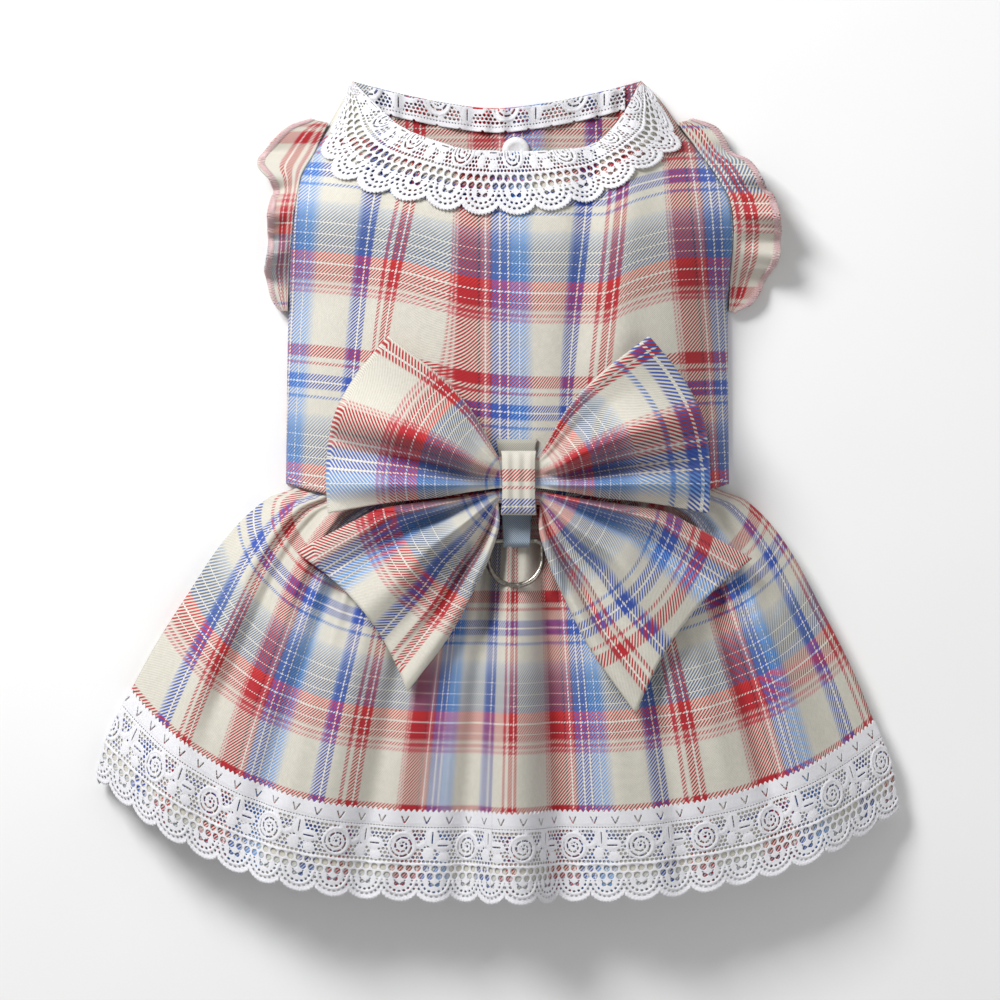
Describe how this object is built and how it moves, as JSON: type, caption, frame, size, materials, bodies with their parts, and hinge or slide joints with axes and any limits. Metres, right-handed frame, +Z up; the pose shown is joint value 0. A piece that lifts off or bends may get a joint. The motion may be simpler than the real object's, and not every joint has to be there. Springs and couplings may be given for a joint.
{
  "type": "pet dress",
  "caption": "Small dog's plaid dress lying flat: bodice, gathered skirt with a lace hem, lace collar, frilled armholes, a bow and a lead ring.",
  "frame": {"origin": "centre of the dress's outline on the surface that it lies on, at the waist", "axes": "+Z up from the surface to the dress's back, +Y from the hem to the neck, +X to the right seen from above"},
  "size_m": [0.3071, 0.3125, 0.0484],
  "materials": {
    "plaid_cotton": "woven plaid twill",
    "white_lace": "embroidered lace",
    "grey_strap": "woven strap",
    "nickel": "satin nickel",
    "snap_plastic": "satin white"
  },
  "bodies": {
    "root": {"bodice_back": "plaid_cotton", "belly_panel_left": "plaid_cotton", "belly_panel_right": "plaid_cotton", "neck_snap": "snap_plastic", "skirt": "plaid_cotton", "hem_lace": "white_lace", "neck_lace": "white_lace", "neck_lace_inner": "white_lace", "sleeve_frill_left": "plaid_cotton", "sleeve_frill_right": "plaid_cotton", "bow_tails": "plaid_cotton", "bow_upper": "plaid_cotton", "bow_knot": "plaid_cotton", "ring_tab": "grey_strap", "d_ring": "nickel"}
  },
  "joints": []
}
